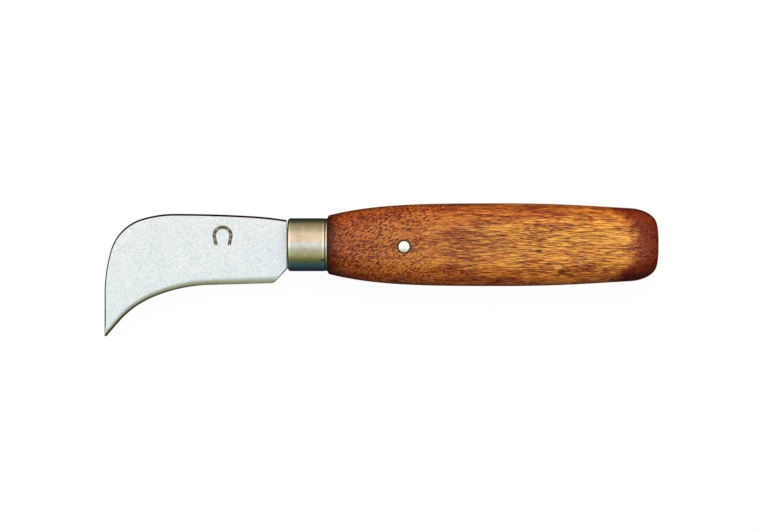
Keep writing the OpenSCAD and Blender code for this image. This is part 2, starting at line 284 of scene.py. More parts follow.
def across_to(line, inward, far):
    """How far each point of line is from the outline far, going inwards.

    For a ray p + t n, the outline crosses it where the side n x (q - p) changes sign; t is read
    off there by linear interpolation, and the farthest crossing counts."""
    n = polar(1, inward)
    offset = far[None] - line[:, None]
    side = n[:, None, 0] * offset[..., 1] - n[:, None, 1] * offset[..., 0]
    ahead = np.einsum("ik,ijk->ij", n, offset)
    share = side[:, :-1] / np.where(side[:, :-1] == side[:, 1:], 1, side[:, :-1] - side[:, 1:])
    reach = ahead[:, :-1] + share * (ahead[:, 1:] - ahead[:, :-1])
    crosses = (side[:, :-1] * side[:, 1:] <= 0) & (reach > 0)
    return np.where(crosses, reach, 0).max(1)


def blade_rings():
    """Sections square to the edge, from the point to the ferrule.

    The half thickness grows from the edge by a convex grind, h = edge + (full - edge) *
    (1 - (1 - d / width)^2), and the back and the heel's slant are rolled over by a quarter
    ellipse. Each ring goes up the top face and back down the bottom one, its mirror."""
    back_round, heel_round = 0.8, 0.55
    roll_depth = 0.85         # how far down the rolled edges reach
    grind_ease = 1.15         # the convex grind is this much wider than a flat one
    bevel_columns, flat_columns, round_columns = 12, 8, 8
    line, inward, depth = edge_line()
    reach = across_to(line, inward, spine_line())
    width = BEVEL_TIP + (BEVEL_HEEL - BEVEL_TIP) * np.clip(line[:, 0] / REACH + 1, 0, 1)
    width *= grind_ease
    bevel = np.clip(width - depth, 0.04 * reach, 0.6 * reach)[:, None]
    corner = np.minimum(back_round, 0.25 * reach)[:, None]
    quarter = np.radians(np.linspace(0, 90, round_columns))
    across = np.concatenate([
        bevel * np.linspace(0, 1, bevel_columns),
        bevel + (reach[:, None] - corner - bevel) * np.linspace(0, 1, flat_columns + 1)[1:-1],
        reach[:, None] - corner * (1 - np.sin(quarter))], 1)
    ground = np.clip((across + depth[:, None]) / width[:, None], 0, 1)
    height = EDGE_HALF + (BLADE_HALF - EDGE_HALF) * (1 - (1 - ground) ** 2)
    heel = heel_round * np.clip(depth / width, 0.001, 1)[:, None]
    for radius, distance in ((corner, reach[:, None] - across), (heel, across)):
        inset = 1 - np.minimum(distance / radius, 1)
        rounded = BLADE_HALF - roll_depth * (1 - np.sqrt(1 - inset ** 2))
        height = np.where(radius > 0.01, np.minimum(height, rounded), height)
    plan = line[:, None] + across[..., None] * polar(1, inward)[:, None]
    top = np.concatenate([plan, height[..., None]], -1)
    bottom = np.concatenate([plan, -height[..., None]], -1)
    return np.concatenate([top, bottom[:, ::-1]], 1)


def flat_bar(x, half_wide, half_thick, columns):
    """Rectangles along X on the pin's line: each goes across at +half_thick and back at
    -half_thick, with the same number of columns each way."""
    across = np.linspace(-1, 1, columns)
    y = PIN_Y + np.asarray(half_wide)[:, None] * np.concatenate([across, -across])
    z = np.repeat([half_thick, -half_thick], columns)
    return np.stack([np.broadcast_to(np.asarray(x)[:, None], y.shape), y,
                     np.broadcast_to(z, y.shape)], -1)


def tang_rings():
    """The tang's rectangular sections along X: filleted into the shoulder by a quarter circle,
    tapering evenly, and rounded at its end corners by another quarter circle."""
    corner = 1.2
    straight_to = TANG_LEN - corner
    quarter = np.radians(np.linspace(0, 90, 8))
    x = np.concatenate([TANG_FILLET * (1 - np.cos(quarter)),
                        np.linspace(TANG_FILLET, straight_to, 24)[1:],
                        straight_to + corner * np.sin(quarter[1:])])
    share = np.clip((x - TANG_FILLET) / (straight_to - TANG_FILLET), 0, 1)
    taper = TANG_ROOT + (TANG_END - TANG_ROOT) * share
    flare = TANG_FILLET - np.sqrt(TANG_FILLET ** 2 - np.maximum(TANG_FILLET - x, 0) ** 2)
    past = np.clip(x - straight_to, 0, corner)
    half = taper + flare - (corner - np.sqrt(corner ** 2 - past ** 2))
    return flat_bar(x, half, TANG_HALF, 5)


def at_pin(name, profile):
    """A solid turned about the pin's centre line from its (radius, z) profile."""
    return skin(name, place(lathe_z(profile, ROUND_COLUMNS) + [PIN_X, PIN_Y, 0], SHOULDER))


def make_blade():
    """Blade and tang in one piece, as forged, with the pin's hole through the tang."""
    hole_r, depth = PIN_R + 0.1, 3
    blade = skin("blade_steel", place(blade_rings(), FRONT))
    combine(blade, skin("tang", place(tang_rings(), FRONT)), "UNION")
    hole = [(hole_r / 2, -depth), (hole_r, -depth), (hole_r, depth), (hole_r / 2, depth)]
    combine(blade, at_pin("hole", hole), "DIFFERENCE")
    return blade


# ---------------------------------------------------------------- ferrule
FERRULE_LEN = ferrule_high[0] - ferrule_low[0]
FERRULE_WALL = 0.8
BORE_R = FERRULE_R - FERRULE_WALL
GROOVE_BACK, GROOVE_HALF = 0.75, 0.3     # the groove's middle from the open end, and half its width
STAKE_BACK, STAKE_DROP = 1.5, 5.3        # the punch marks, from the open end and the axis


def ferrule_profile():
    """Half the cup's section, as (radius, x): flat front, rounded corner, side with a rolled
    groove near the open end, a small round lip, the bore and the inside of the closed end."""
    corner, inner, lip, groove_depth = 1.0, 0.2, 0.12, 0.18
    groove_x = FERRULE_LEN - GROOVE_BACK
    groove_r = (GROOVE_HALF ** 2 + groove_depth ** 2) / (2 * groove_depth)
    sweep = math.degrees(math.asin(GROOVE_HALF / groove_r))
    face_rings = np.array([0.4, 3, 6])       # radii of the rings on the closed end
    side = np.linspace(corner, groove_x - GROOVE_HALF, 11)[1:-1]
    return np.concatenate([
        np.stack([face_rings, np.zeros(3)], -1),
        arc((FERRULE_R - corner, corner), corner, 270, 360, 14),
        np.stack([np.full(len(side), FERRULE_R), side], -1),
        arc((FERRULE_R - groove_depth + groove_r, groove_x), groove_r, 180 + sweep, 180 - sweep, 12),
        arc((FERRULE_R - lip, FERRULE_LEN - lip), lip, 0, 90, 6),
        [(BORE_R, FERRULE_LEN), (BORE_R, FERRULE_LEN / 2)],
        arc((BORE_R - inner, FERRULE_WALL + inner), inner, 360, 270, 5),
        np.stack([face_rings[::-1], np.full(3, FERRULE_WALL)], -1)])


def make_ferrule():
    """A drawn cup with a slot for the tang in its closed end and a punch mark on each side."""
    cup_columns, stake_r = 192, 0.45
    ferrule = skin("ferrule_cup", place(lathe_x(ferrule_profile(), cup_columns), FRONT))
    slot = flat_bar(FERRULE_WALL * np.array([-0.5, 1.5]),
                    [TANG_ROOT + TANG_FILLET + SLOT_GAP] * 2, TANG_HALF + SLOT_GAP, 2)
    combine(ferrule, skin("slot", place(slot, FRONT)), "DIFFERENCE")
    up = math.sqrt(FERRULE_R ** 2 - STAKE_DROP ** 2)
    for side in (-1, 1):
        centre = [FERRULE_LEN - STAKE_BACK, -STAKE_DROP, side * up]
        ball = lathe_z(arc((0, 0), stake_r, -84, 84, 14), 24) + centre
        combine(ferrule, skin("punch", place(ball, FRONT)), "DIFFERENCE")
    return ferrule


# ---------------------------------------------------------------- handle
HANDLE_LEN = handle_high[0] - SHOULDER[0]
HALF_WIDE = handle_high[1]
HALF_THICK = (handle_high[2] - handle_low[2]) / 2
HALF_SHOULDER = FERRULE_R + 0.9          # the shoulder stands a little proud of the ferrule
TENON_R, TENON_LEN = BORE_R - 0.02, SHOULDER[0] - handle_low[0]
EASE = 0.75                   # radius of the shoulder's edge
SIDE_ROUND = 8.6              # width of the rounding along each side
BUTT_ROUND, BUTT_INSET, BUTT_CROWN = 8.8, 4.9, 0.35
ROUND_START = HANDLE_LEN - BUTT_CROWN - BUTT_ROUND


def shoulder_ease(x):
    """A quarter circle at the shoulder's edge."""
    return EASE - np.sqrt(EASE ** 2 - np.clip(EASE - x, 0, EASE) ** 2)


def half_width(x):
    """Swells from the shoulder as 1 - (1 - x / length) ^ power, then tapers to the butt along a
    short parabola and a straight."""
    swell_len, swell_power = 70, 4.3
    taper_back, taper_in, taper_slope = 52, 28, 0.0585
    late = np.maximum(0, x - (HANDLE_LEN - taper_back))
    taper = taper_slope * np.where(late < taper_in, late ** 2 / (2 * taper_in), late - taper_in / 2)
    swell = np.maximum(0, 1 - x / swell_len) ** swell_power
    return HALF_WIDE - (HALF_WIDE - HALF_SHOULDER) * swell - taper - shoulder_ease(x)


def half_depth(x):
    """The flats reach their full height a few millimetres behind the shoulder."""
    flat_from = 3
    nose = np.maximum(0, 1 - x / flat_from) ** 2
    return HALF_THICK - (HALF_THICK - HALF_SHOULDER) * nose - shoulder_ease(x)


def half_flat(x):
    """Half the width of the flats, which close up towards the round nose."""
    round_nose, least = 22, 0.02
    nose = np.maximum(0, 1 - x / round_nose) ** 2
    flat = half_width(x) + shoulder_ease(x) - SIDE_ROUND - (HALF_SHOULDER - SIDE_ROUND) * nose
    return np.maximum(least, flat)


def handle_sections(x, wide, deep, flat):
    """Rings of two flats joined by half ellipses: y = f + (a - f) cos t, z = b sin t."""
    t = np.radians(np.linspace(90, -90, 49))
    run = np.linspace(1, -1, 12)[1:-1]
    y = np.concatenate([np.cos(t) * (wide - flat) + flat, flat * run,
                        -np.cos(t) * (wide - flat) - flat, -flat * run], 1)
    lift = np.concatenate([np.sin(t), np.full(10, -1), -np.sin(t), np.full(10, 1)])
    return np.stack([np.broadcast_to(x, y.shape), y, deep * lift], -1)


def handle_rings():
    """The tenon, the shoulder, the body, the butt's rounding (a quarter ellipse) and the end
    face, which bulges as 1 - share^2."""
    dense_to = 24                            # the rings stand closer together up to here
    nose = EASE * (1 - np.cos(np.radians(np.linspace(0, 90, 9))))
    front = EASE + (dense_to - EASE) * np.linspace(0, 1, 31)[1:] ** 1.5
    x = np.concatenate([nose, front, np.linspace(dense_to, ROUND_START, 61)[1:]])[:, None]
    body = handle_sections(x, half_width(x), half_depth(x), half_flat(x))
    turn = np.radians(np.linspace(0, 90, 21))[1:, None]
    x = ROUND_START + BUTT_ROUND * np.sin(turn)
    inset = BUTT_INSET * (1 - np.cos(turn))
    butt = handle_sections(x, half_width(x) - inset, half_depth(x) - inset,
                           half_flat(x) - inset / 2)
    share = np.array([0.9, 0.75, 0.6, 0.45, 0.3, 0.2])[:, None]
    least = share[-1, 0]
    x = ROUND_START + BUTT_ROUND + np.zeros_like(share)
    end = handle_sections(x + BUTT_CROWN * (1 - share ** 2) / (1 - least ** 2),
                          share * (half_width(x) - BUTT_INSET),
                          share * (half_depth(x) - BUTT_INSET),
                          share * (half_flat(x) - BUTT_INSET / 2))
    way = body[0, :, 1:] / np.linalg.norm(body[0, :, 1:], axis=1)[:, None]
    tenon_rings = ((2.5, -TENON_LEN), (TENON_R, -TENON_LEN), (TENON_R, -TENON_LEN / 2), (TENON_R, 0))
    tenon = np.stack([np.insert(way * radius, 0, x, axis=1) for radius, x in tenon_rings])
    return np.concatenate([tenon, body, butt, end])


def tang_slot():
    """The slot for the tang: a flat wedge with a clearance all round."""
    end_gap = 1.5
    half = SLOT_GAP + np.array([TANG_ROOT, TANG_ROOT, TANG_END])
    rings = flat_bar([-1, TANG_FILLET, TANG_LEN + end_gap], half, TANG_HALF + SLOT_GAP, 2)
    return skin("tang_slot", place(rings, FRONT))


def make_handle():
    """One piece of hardwood, slotted for the tang and drilled and countersunk for the pin."""
    pin_gap, ring, past = 0.02, 0.32, 1.0
    handle = skin("handle_wood", place(handle_rings(), SHOULDER))
    combine(handle, tang_slot(), "DIFFERENCE")
    r, mouth_r = PIN_R + pin_gap, PIN_R + pin_gap + ring + past
    top, sunk = HALF_THICK + past, HALF_THICK - ring
    drill = [(r / 2, -top), (mouth_r, -top), (r, -sunk), (r, sunk), (mouth_r, top), (r / 2, top)]
    combine(handle, at_pin("drill", drill), "DIFFERENCE")
    return handle


# ---------------------------------------------------------------- cross pin
def make_pin():
    """A pin with a low dome of constant curvature on each end and a hair of edge round."""
    dome = 0.3
    top = (pin_high[2] - pin_low[2]) / 2
    radius = (PIN_R ** 2 + dome ** 2) / (2 * dome)
    sweep = math.degrees(math.asin(PIN_R / radius))
    cap = arc((0, top - radius), radius, 90 - sweep, 90 - sweep / 16, 14)
    return at_pin("pin_steel", np.concatenate([cap[::-1] * [1, -1], cap]))


# ---------------------------------------------------------------- material tools
def srgb(text):
    """An sRGB hex colour as linear RGBA."""
    values = [int(text[k:k + 2], 16) / 255 for k in (1, 3, 5)]
    return [v / 12.92 if v <= 0.04045 else ((v + 0.055) / 1.055) ** 2.4 for v in values] + [1]


def add(tree, kind, inputs=None, stops=None, **settings):
    """Adds a node with its settings and its ramp's stops. Each input is a value, or a node
    or socket to link; a node stands for its first output."""
    node = tree.nodes.new(kind)
    for name, value in settings.items():
        setattr(node, name, value)
    if stops:
        ramp = node.color_ramp
        while len(ramp.elements) < len(stops):
            ramp.elements.new(0.5)
        for element, (position, colour) in zip(ramp.elements, stops):
            element.position = position
            element.color = srgb(colour) if isinstance(colour, str) else [colour] * 3 + [1]
    for key, value in (inputs or {}).items():
        if isinstance(value, bpy.types.Node):
            value = value.outputs[0]
        if isinstance(value, bpy.types.NodeSocket):
            tree.links.new(value, node.inputs[key])
        else:
            node.inputs[key].default_value = value
    return node


def new_material(name):
    """An empty node material and its tree."""
    material = bpy.data.materials.new(name)
    material.use_nodes = True
    material.node_tree.nodes.clear()
    return material, material.node_tree


def in_mm(tree, origin, turn=(0, 0, 0), scale=(1, 1, 1)):
    """Object coordinates in millimetres about origin, then turned and scaled."""
    where = add(tree, "ShaderNodeTexCoord").outputs["Object"]
    mm = add(tree, "ShaderNodeMapping", {"Vector": where, "Scale": [1 / MM] * 3,
                                         "Location": [-v for v in origin]})
    if scale == (1, 1, 1) and turn == (0, 0, 0):
        return mm
    turned = add(tree, "ShaderNodeMapping",
                 {"Vector": mm, "Rotation": [math.radians(a) for a in turn]})
    return add(tree, "ShaderNodeMapping", {"Vector": turned, "Scale": scale})


# ---------------------------------------------------------------- materials
def etched_horseshoe(tree, mm, speckle):
    """How dark the etched mark is: a band of constant width along a half circle and two legs that
    lean in, bare at its nail holes and worn by the speckle."""
    at = add(tree, "ShaderNodeMapping", {"Vector": mm, "Location": [-MARK_AT[0], -MARK_AT[1], 0]})
    xyz = add(tree, "ShaderNodeSeparateXYZ", {0: at})
    bow, lean, band, leg = 2.9, 0.2, 0.6, 3.3
    up = add(tree, "ShaderNodeMath", {0: xyz.outputs[1], 1: 0}, operation="MAXIMUM")
    down = add(tree, "ShaderNodeMath", {0: xyz.outputs[1], 1: 0}, operation="MINIMUM")
    xx = add(tree, "ShaderNodeMath", {0: xyz.outputs[0], 1: xyz.outputs[0]}, operation="MULTIPLY")
    rr = add(tree, "ShaderNodeMath", {0: up, 1: up, 2: xx}, operation="MULTIPLY_ADD")
    radius = add(tree, "ShaderNodeMath", {0: rr, 1: 0.5}, operation="POWER")
    target = add(tree, "ShaderNodeMath", {0: down, 1: lean, 2: bow}, operation="MULTIPLY_ADD")
    off = add(tree, "ShaderNodeMath", {0: radius, 1: target}, operation="SUBTRACT")
    off = add(tree, "ShaderNodeMath", {0: off}, operation="ABSOLUTE")
    ink = add(tree, "ShaderNodeMapRange", {0: off, 1: band + 0.1, 2: band - 0.1, 3: 0, 4: 1})
    ends = add(tree, "ShaderNodeMapRange", {0: xyz.outputs[1], 1: -leg - 0.1, 2: -leg + 0.1})
    upper = add(tree, "ShaderNodeMath", {0: xyz.outputs[2], 1: 0.5}, operation="GREATER_THAN")
    # nail holes 1.7 mm apart are left bare along the band's middle
    beat = add(tree, "ShaderNodeMath", {0: xyz.outputs[1], 1: 3.6}, operation="MULTIPLY")
    beat = add(tree, "ShaderNodeMath", {0: beat}, operation="SINE")
    bare = add(tree, "ShaderNodeMapRange", {0: off, 1: 0.2, 2: 0.1, 3: 0, 4: 0.7})
    bare = add(tree, "ShaderNodeMath", {0: bare, 1: beat}, operation="MULTIPLY", use_clamp=True)
    kept = add(tree, "ShaderNodeMath", {0: 1, 1: bare}, operation="SUBTRACT")
    ink = add(tree, "ShaderNodeMath", {0: ink, 1: ends}, operation="MULTIPLY")
    ink = add(tree, "ShaderNodeMath", {0: ink, 1: upper}, operation="MULTIPLY")
    ink = add(tree, "ShaderNodeMath", {0: ink, 1: kept}, operation="MULTIPLY")
    worn = add(tree, "ShaderNodeMapRange", {0: speckle, 1: 0.3, 2: 0.7, 3: 1, 4: 0.75})
    return add(tree, "ShaderNodeMath", {0: ink, 1: worn}, operation="MULTIPLY")


def steepness_shade(tree):
    """What the steel's colour is multiplied by, from how steep the surface is: painted shade that
    darkens the steel as it turns away from straight up, a little on the bevel, which is also ground a
    little duller than the face, and to a dark outline on the rolled-over back and heel."""
    normal = add(tree, "ShaderNodeNewGeometry").outputs["Normal"]
    normal = add(tree, "ShaderNodeSeparateXYZ", {0: normal})
    level = add(tree, "ShaderNodeMath", {0: normal.outputs[2]}, operation="ABSOLUTE")
    ground = add(tree, "ShaderNodeValToRGB", {"Fac": level},
                 stops=[(0.66, "#46392a"), (0.8, "#8d8474"), (0.86, "#ece8e6"), (0.95, "#f2eeec"),
                        (0.99, "#ffffff")])
    rolled = add(tree, "ShaderNodeValToRGB", {"Fac": level},
                 stops=[(0.92, "#140d08"), (0.975, "#574b3c"), (0.995, "#ffffff")])
    back = add(tree, "ShaderNodeMath", {0: normal.outputs[1], 1: normal.outputs[0]},
               operation="SUBTRACT")
    back = add(tree, "ShaderNodeMapRange", {0: back, 1: 0.0, 2: 0.05})
    scale = add(tree, "ShaderNodeMix", {0: back, 6: ground, 7: rolled}, data_type="RGBA")
    return scale.outputs[2]


def satin_steel():
    """High-carbon steel, belt-ground and tumbled to satin: pale and slightly cool, with a fine
    speckle, painted shade that darkens the bevel a little and the rolled-over back and heel to a dark
    outline, and a small horseshoe etched dark on the upper face."""
    material, tree = new_material("satin_ground_carbon_steel")
    mm = in_mm(tree, FRONT)
    # the tumbling's speckle and the belt's scratches, 0.4 and 0.25 mm across: both are drawn
    # several times coarser than the real grit, so that they show
    speckle = add(tree, "ShaderNodeTexNoise", {"Vector": mm, "Scale": 2.6, "Detail": 2,
                                               "Roughness": 0.55})
    clouds = add(tree, "ShaderNodeTexNoise", {"Vector": mm, "Scale": 0.12, "Detail": 3})
    grain = add(tree, "ShaderNodeTexNoise",
                {"Vector": in_mm(tree, FRONT, (0, 0, 8), (0.25, 4, 4)), "Scale": 1, "Detail": 2})
    tone = add(tree, "ShaderNodeMath", {0: speckle, 1: 0.6, 2: 0}, operation="MULTIPLY_ADD")
    tone = add(tree, "ShaderNodeMath", {0: clouds, 1: 0.1, 2: tone}, operation="MULTIPLY_ADD")
    tone = add(tree, "ShaderNodeMath", {0: grain, 1: 0.16, 2: tone}, operation="MULTIPLY_ADD")
    steel = add(tree, "ShaderNodeValToRGB", {"Fac": tone},
                stops=[(0.32, "#ccd4db"), (0.43, "#e7ecf2"), (0.55, "#f8fbfd")])
    # the steel's colour times painted shade, darker where the surface turns away from straight up
    steel = add(tree, "ShaderNodeMix", {0: 1.0, 6: steel, 7: steepness_shade(tree)}, data_type="RGBA",
                blend_type="MULTIPLY")
    ink = etched_horseshoe(tree, mm, speckle)
    colour = add(tree, "ShaderNodeMix", {0: ink, 6: steel.outputs[2], 7: srgb("#604503")},
                 data_type="RGBA")
    satin = add(tree, "ShaderNodeMapRange", {0: tone, 1: 0.3, 2: 0.7, 3: 0.36, 4: 0.46})
    rough = add(tree, "ShaderNodeMath", {0: ink, 1: 0.25, 2: satin}, operation="MULTIPLY_ADD")
    bump = add(tree, "ShaderNodeBump", {"Strength": 0.08, "Distance": 0.02 * MM, "Height": tone})
    shader = add(tree, "ShaderNodeBsdfPrincipled",
                 {"Base Color": colour.outputs[2], "Metallic": 1.0, "Roughness": rough,
                  "Normal": bump})
    add(tree, "ShaderNodeOutputMaterial", {0: shader})
    return material


def painted_glints_and_shade(tree, mm, colour):
    """The plate's colour with painted highlights at the front corner and on both sides of the groove,
    and painted shade and dark reflection in the groove and at both ends."""
    part = add(tree, "ShaderNodeSeparateXYZ", {0: mm}).outputs[0]
    part = add(tree, "ShaderNodeMath", {0: part, 1: FERRULE_LEN}, operation="DIVIDE")
    groove_from = FERRULE_LEN - GROOVE_BACK - GROOVE_HALF
    groove_to = FERRULE_LEN - GROOVE_BACK + GROOVE_HALF
    # painted highlights: bright bands at the front corner, before the groove and on the bead behind
    # it
    places = [(0.45, 0), (0.65, 1), (0.9, 0.8), (1.25, 0),
              (groove_from - 0.65, 0), (groove_from - 0.3, 0.9), (groove_from - 0.05, 0.9),
              (groove_from + 0.05, 0), (groove_to - 0.05, 0), (groove_to + 0.05, 0.8),
              (FERRULE_LEN - 0.2, 0.8), (FERRULE_LEN - 0.1, 0)]
    glint_mask = add(tree, "ShaderNodeValToRGB", {"Fac": part},
                 stops=[(place / FERRULE_LEN, amount) for place, amount in places])
    colour = add(tree, "ShaderNodeMix", {0: glint_mask, 6: colour, 7: srgb("#fffdf8")},
                 data_type="RGBA")
    # painted shade and dark reflection: dark bands at the front edge, in the groove and at the open
    # end
    places = [(0.42, 0.9), (0.56, 0), (groove_from + 0.03, 0), (groove_from + 0.15, 0.7),
              (groove_to - 0.15, 0.7), (groove_to - 0.03, 0), (FERRULE_LEN - 0.1, 0),
              (FERRULE_LEN - 0.02, 0.9)]
    painted_dark_mask = add(tree, "ShaderNodeValToRGB", {"Fac": part},
               stops=[(place / FERRULE_LEN, amount) for place, amount in places])
    return add(tree, "ShaderNodeMix", {0: painted_dark_mask, 6: colour.outputs[2], 7: srgb("#6a5324")},
               data_type="RGBA")


def nickel_plate():
    """Nickel-plated steel, tumbled: a warm silver mirror softened by fine wear, with smudges
    and a few hairlines."""
    material, tree = new_material("nickel_plated_steel")
    mm = in_mm(tree, FRONT)
    smudge = add(tree, "ShaderNodeTexNoise", {"Vector": mm, "Scale": 0.35, "Detail": 4,
                                              "Distortion": 0.8})
    hair = add(tree, "ShaderNodeTexNoise",
               {"Vector": in_mm(tree, FRONT, (0, 0, 60), (6, 0.35, 0.35)), "Scale": 1, "Detail": 1})
    line = add(tree, "ShaderNodeMapRange", {0: hair, 1: 0.66, 2: 0.72, 3: 0, 4: 1})
    plate = add(tree, "ShaderNodeValToRGB", {"Fac": smudge},
                stops=[(0.35, "#cfc6b6"), (0.5, "#d9d0c1"), (0.62, "#e1d9cb")])
    colour = add(tree, "ShaderNodeMix", {0: line, 6: plate, 7: srgb("#aaa293")}, data_type="RGBA")
    # painted highlights and painted shade in bands along the ferrule
    colour = painted_glints_and_shade(tree, mm, colour.outputs[2])
    # painted shade in the two punch marks
    near = add(tree, "ShaderNodeMapping", {"Vector": mm, "Scale": [1, 1, 0], "Location":
                                           [STAKE_BACK - FERRULE_LEN, STAKE_DROP, 0]})
    away = add(tree, "ShaderNodeVectorMath", {0: near}, operation="LENGTH").outputs["Value"]
    punch_shade = add(tree, "ShaderNodeMapRange", {0: away, 1: 0.55, 2: 0.4, 3: 0, 4: 0.85})
    colour = add(tree, "ShaderNodeMix", {0: punch_shade, 6: colour.outputs[2], 7: srgb("#2a2015")},
                 data_type="RGBA")
    rough = add(tree, "ShaderNodeMapRange", {0: smudge, 1: 0.35, 2: 0.65, 3: 0.23, 4: 0.16})
    bump = add(tree, "ShaderNodeBump", {"Strength": 0.05, "Distance": 0.02 * MM, "Height": smudge})
    shader = add(tree, "ShaderNodeBsdfPrincipled",
                 {"Base Color": colour.outputs[2], "Metallic": 1.0, "Roughness": rough,
                  "Normal": bump})
    add(tree, "ShaderNodeOutputMaterial", {0: shader})
    return material


def pin_metal():
    """A bright steel pin, cut off and peened: nearly white, and faintly dimpled by the hammer."""
    material, tree = new_material("peened_pin_steel")
    mm = in_mm(tree, SHOULDER)
    dimples = add(tree, "ShaderNodeTexNoise", {"Vector": mm, "Scale": 1.3, "Detail": 2})
    colour = add(tree, "ShaderNodeValToRGB", {"Fac": dimples},
                 stops=[(0.38, "#dededa"), (0.55, "#ffffff")])
    bump = add(tree, "ShaderNodeBump", {"Strength": 0.5, "Distance": 0.12 * MM, "Height": dimples})
    shader = add(tree, "ShaderNodeBsdfPrincipled",
                 {"Base Color": colour, "Metallic": 1.0, "Roughness": 0.24, "Normal": bump})
    add(tree, "ShaderNodeOutputMaterial", {0: shader})
    return material


def wood_ends(tree, mm, x, yy):
    """Where the flats' grain gives way to the nose's and the butt's: a mask for both ends, one for
    the butt alone, and the wandering distance that the butt's mask is read from."""
    wander = add(tree, "ShaderNodeTexNoise", {"Vector": mm, "Scale": 0.12, "Detail": 3})
    drift = add(tree, "ShaderNodeMath", {0: wander, 1: 18, 2: x}, operation="MULTIPLY_ADD")
    nose_line = add(tree, "ShaderNodeMath", {0: yy, 1: -0.04, 2: drift}, operation="MULTIPLY_ADD")
    nose = add(tree, "ShaderNodeMapRange", {0: nose_line, 1: 27, 2: 61, 3: 1, 4: 0},
               interpolation_type="SMOOTHSTEP")
    fray = add(tree, "ShaderNodeTexNoise", {"Vector": mm, "Scale": 0.5, "Detail": 3})
    fray = add(tree, "ShaderNodeMath", {0: fray, 1: 7, 2: x}, operation="MULTIPLY_ADD")
    butt_line = add(tree, "ShaderNodeMath", {0: yy, 1: 0.045, 2: fray}, operation="MULTIPLY_ADD")
    butt = add(tree, "ShaderNodeMapRange", {0: butt_line, 1: 104.5, 2: 111.5, 3: 0, 4: 1},
               interpolation_type="SMOOTHSTEP")
    short = add(tree, "ShaderNodeMath", {0: nose, 1: butt}, operation="MAXIMUM")
    return short, butt, butt_line


def wood_figure(tree, short, butt_line, yy):
    """The fleck and grain patterns, and the tone that grain, growth bands and golden patches make
    about a level of its own."""
    # flecks about 1.2 mm long and 0.4 mm wide, slanting up towards the butt
    fleck = add(tree, "ShaderNodeTexNoise",
                {"Vector": in_mm(tree, SHOULDER, (0, 0, -24), (0.85, 2.6, 2.6)), "Scale": 1,
                 "Detail": 3, "Roughness": 0.65, "Distortion": 0.8})
    # bundles of fibres about 3 mm long and 0.2 mm wide
    fibre = add(tree, "ShaderNodeTexNoise",
                {"Vector": in_mm(tree, SHOULDER, (0, 0, 1.5), (0.3, 5.2, 5.2)), "Scale": 1,
                 "Detail": 3, "Roughness": 0.68, "Distortion": 0.5})
    grain = add(tree, "ShaderNodeMix", {0: short, 2: fibre, 3: fleck}, data_type="FLOAT")
    # growth bands about 2.5 mm wide
    bands = add(tree, "ShaderNodeTexNoise",
                {"Vector": in_mm(tree, SHOULDER, (0, 0, 1), (0.035, 0.4, 0.4)), "Scale": 1,
                 "Detail": 3})
    # golden patches about 10 mm long and 4 mm wide
    patches = add(tree, "ShaderNodeTexNoise",
                  {"Vector": in_mm(tree, SHOULDER, (0, 0, -8), (0.1, 0.26, 0.26)), "Scale": 1,
                   "Detail": 2})
    # golden along the middle, redder towards the sides, paler where the butt begins to turn down
    middle = add(tree, "ShaderNodeMapRange", {0: yy, 1: 0, 2: 170, 3: 0.575, 4: 0.5})
    pale = add(tree, "ShaderNodeMapRange", {0: butt_line, 1: 103.5, 2: 105.5, 3: 0, 4: 0.05},
               interpolation_type="SMOOTHSTEP")
    middle = add(tree, "ShaderNodeMath", {0: middle, 1: pale}, operation="ADD")
    swing = add(tree, "ShaderNodeMapRange", {0: short, 1: 0, 2: 1, 3: 2.0, 4: 3.4})
    grain_off = add(tree, "ShaderNodeMath", {0: grain, 1: 0.5}, operation="SUBTRACT")
    bands_off = add(tree, "ShaderNodeMath", {0: bands, 1: 0.5}, operation="SUBTRACT")
    tone = add(tree, "ShaderNodeMath", {0: grain_off, 1: swing, 2: middle}, operation="MULTIPLY_ADD")
    tone = add(tree, "ShaderNodeMath", {0: bands_off, 1: 0.55, 2: tone}, operation="MULTIPLY_ADD")
    patches_off = add(tree, "ShaderNodeMath", {0: patches, 1: 0.5}, operation="SUBTRACT")
    tone = add(tree, "ShaderNodeMath", {0: patches_off, 1: 0.3, 2: tone},
               operation="MULTIPLY_ADD")
    return fleck, grain, tone


def wood_colour(tree, tone, short):
    """Dark red-brown to gold by tone, crossed by the pores."""
    wood = add(tree, "ShaderNodeValToRGB", {"Fac": tone},
               stops=[(0.31, "#4b1318"), (0.43, "#873324"), (0.54, "#bd6c22"), (0.64, "#dd9c36"),
                      (0.76, "#f1b956")])
    # long dark pores, only where the surface runs along the fibres: about 8 mm long, and drawn
    # 0.3 mm wide, twice the real width, so that they show
    pore = add(tree, "ShaderNodeTexNoise",
               {"Vector": in_mm(tree, SHOULDER, (0, 0, 0.5), (0.13, 3.1, 3.1)), "Scale": 1,
                "Detail": 1})
    line = add(tree, "ShaderNodeMapRange", {0: pore, 1: 0.58, 2: 0.63, 3: 0, 4: 0.85})
    along = add(tree, "ShaderNodeMath", {0: 1, 1: short}, operation="SUBTRACT")
    line = add(tree, "ShaderNodeMath", {0: line, 1: along}, operation="MULTIPLY")
    return add(tree, "ShaderNodeMix", {0: line, 6: wood, 7: srgb("#571c20")}, data_type="RGBA")


